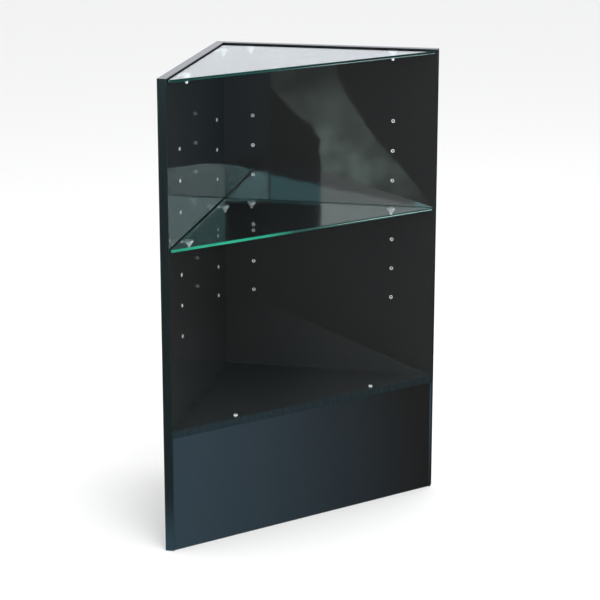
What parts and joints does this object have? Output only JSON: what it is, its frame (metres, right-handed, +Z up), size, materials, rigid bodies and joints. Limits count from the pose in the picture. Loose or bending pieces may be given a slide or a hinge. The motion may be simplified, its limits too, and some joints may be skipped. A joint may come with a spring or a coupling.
{
  "type": "open corner display cabinet",
  "caption": "Tall triangular corner display cabinet: two gloss black back boards, raised deck with kick board, adjustable glass shelf and let-in glass top.",
  "frame": {"origin": "middle of the bounding box at floor level", "axes": "+Z up, the open front faces -Y, the closed corner is at +Y, the left back board is on the -X side"},
  "size_m": [0.6718, 0.3486, 0.965],
  "materials": {
    "gloss_black_laminate": "high-gloss black melamine laminate on particle board",
    "black_edge_band": "satin black edge banding",
    "clear_float_glass": "clear float glass with polished green edges",
    "nickel_plated_sleeve": "bright nickel plating",
    "nickel_plated_support": "bright nickel plating",
    "clear_vinyl": "clear soft vinyl",
    "zinc_plated_steel": "bright zinc plating",
    "beech": "bare beech"
  },
  "bodies": {
    "cabinet": {"left_back_board": "gloss_black_laminate", "right_back_board": "gloss_black_laminate", "deck_board": "gloss_black_laminate", "kick_board": "gloss_black_laminate", "left_front_edge_band": "black_edge_band", "right_front_edge_band": "black_edge_band", "left_top_edge_band": "black_edge_band", "right_top_edge_band": "black_edge_band", "deck_edge_band": "black_edge_band", "left_front_pin_sleeves": "nickel_plated_sleeve", "left_rear_pin_sleeves": "nickel_plated_sleeve", "right_front_pin_sleeves": "nickel_plated_sleeve", "right_rear_pin_sleeves": "nickel_plated_sleeve", "corner_screws": "zinc_plated_steel", "corner_dowels": "beech", "left_deck_screws": "zinc_plated_steel", "right_deck_screws": "zinc_plated_steel", "left_deck_dowels": "beech", "right_deck_dowels": "beech", "kick_screws": "zinc_plated_steel", "kick_dowels": "beech"},
    "glass_top": {"glass_top": "clear_float_glass"},
    "glass_shelf": {"glass_shelf": "clear_float_glass"},
    "shelf_support_left_front": {"shelf_support_left_front": "nickel_plated_support", "shelf_pad_left_front": "clear_vinyl"},
    "shelf_support_left_rear": {"shelf_support_left_rear": "nickel_plated_support", "shelf_pad_left_rear": "clear_vinyl"},
    "shelf_support_right_front": {"shelf_support_right_front": "nickel_plated_support", "shelf_pad_right_front": "clear_vinyl"},
    "shelf_support_right_rear": {"shelf_support_right_rear": "nickel_plated_support", "shelf_pad_right_rear": "clear_vinyl"},
    "top_support_left_front": {"top_support_left_front": "nickel_plated_support", "top_pad_left_front": "clear_vinyl"},
    "top_support_left_rear": {"top_support_left_rear": "nickel_plated_support", "top_pad_left_rear": "clear_vinyl"},
    "top_support_right_front": {"top_support_right_front": "nickel_plated_support", "top_pad_right_front": "clear_vinyl"},
    "top_support_right_rear": {"top_support_right_rear": "nickel_plated_support", "top_pad_right_rear": "clear_vinyl"}
  },
  "joints": [
    {"name": "glass_top_lift_off", "type": "slide", "parent": "cabinet", "child": "glass_top", "axis": [0, 0, 1], "range_m": [0, 0.04]},
    {"name": "glass_shelf_lift", "type": "slide", "parent": "cabinet", "child": "glass_shelf", "axis": [0, 0, 1], "range_m": [0, 0.192]},
    {"name": "shelf_support_left_front_pull_out", "type": "slide", "parent": "cabinet", "child": "shelf_support_left_front", "axis": [0.7071, -0.7071, 0], "range_m": [0, 0.012]},
    {"name": "shelf_support_left_rear_pull_out", "type": "slide", "parent": "cabinet", "child": "shelf_support_left_rear", "axis": [0.7071, -0.7071, 0], "range_m": [0, 0.012]},
    {"name": "shelf_support_right_front_pull_out", "type": "slide", "parent": "cabinet", "child": "shelf_support_right_front", "axis": [-0.7071, -0.7071, 0], "range_m": [0, 0.012]},
    {"name": "shelf_support_right_rear_pull_out", "type": "slide", "parent": "cabinet", "child": "shelf_support_right_rear", "axis": [-0.7071, -0.7071, 0], "range_m": [0, 0.012]},
    {"name": "top_support_left_front_pull_out", "type": "slide", "parent": "cabinet", "child": "top_support_left_front", "axis": [0.7071, -0.7071, 0], "range_m": [0, 0.012]},
    {"name": "top_support_left_rear_pull_out", "type": "slide", "parent": "cabinet", "child": "top_support_left_rear", "axis": [0.7071, -0.7071, 0], "range_m": [0, 0.012]},
    {"name": "top_support_right_front_pull_out", "type": "slide", "parent": "cabinet", "child": "top_support_right_front", "axis": [-0.7071, -0.7071, 0], "range_m": [0, 0.012]},
    {"name": "top_support_right_rear_pull_out", "type": "slide", "parent": "cabinet", "child": "top_support_right_rear", "axis": [-0.7071, -0.7071, 0], "range_m": [0, 0.012]}
  ]
}
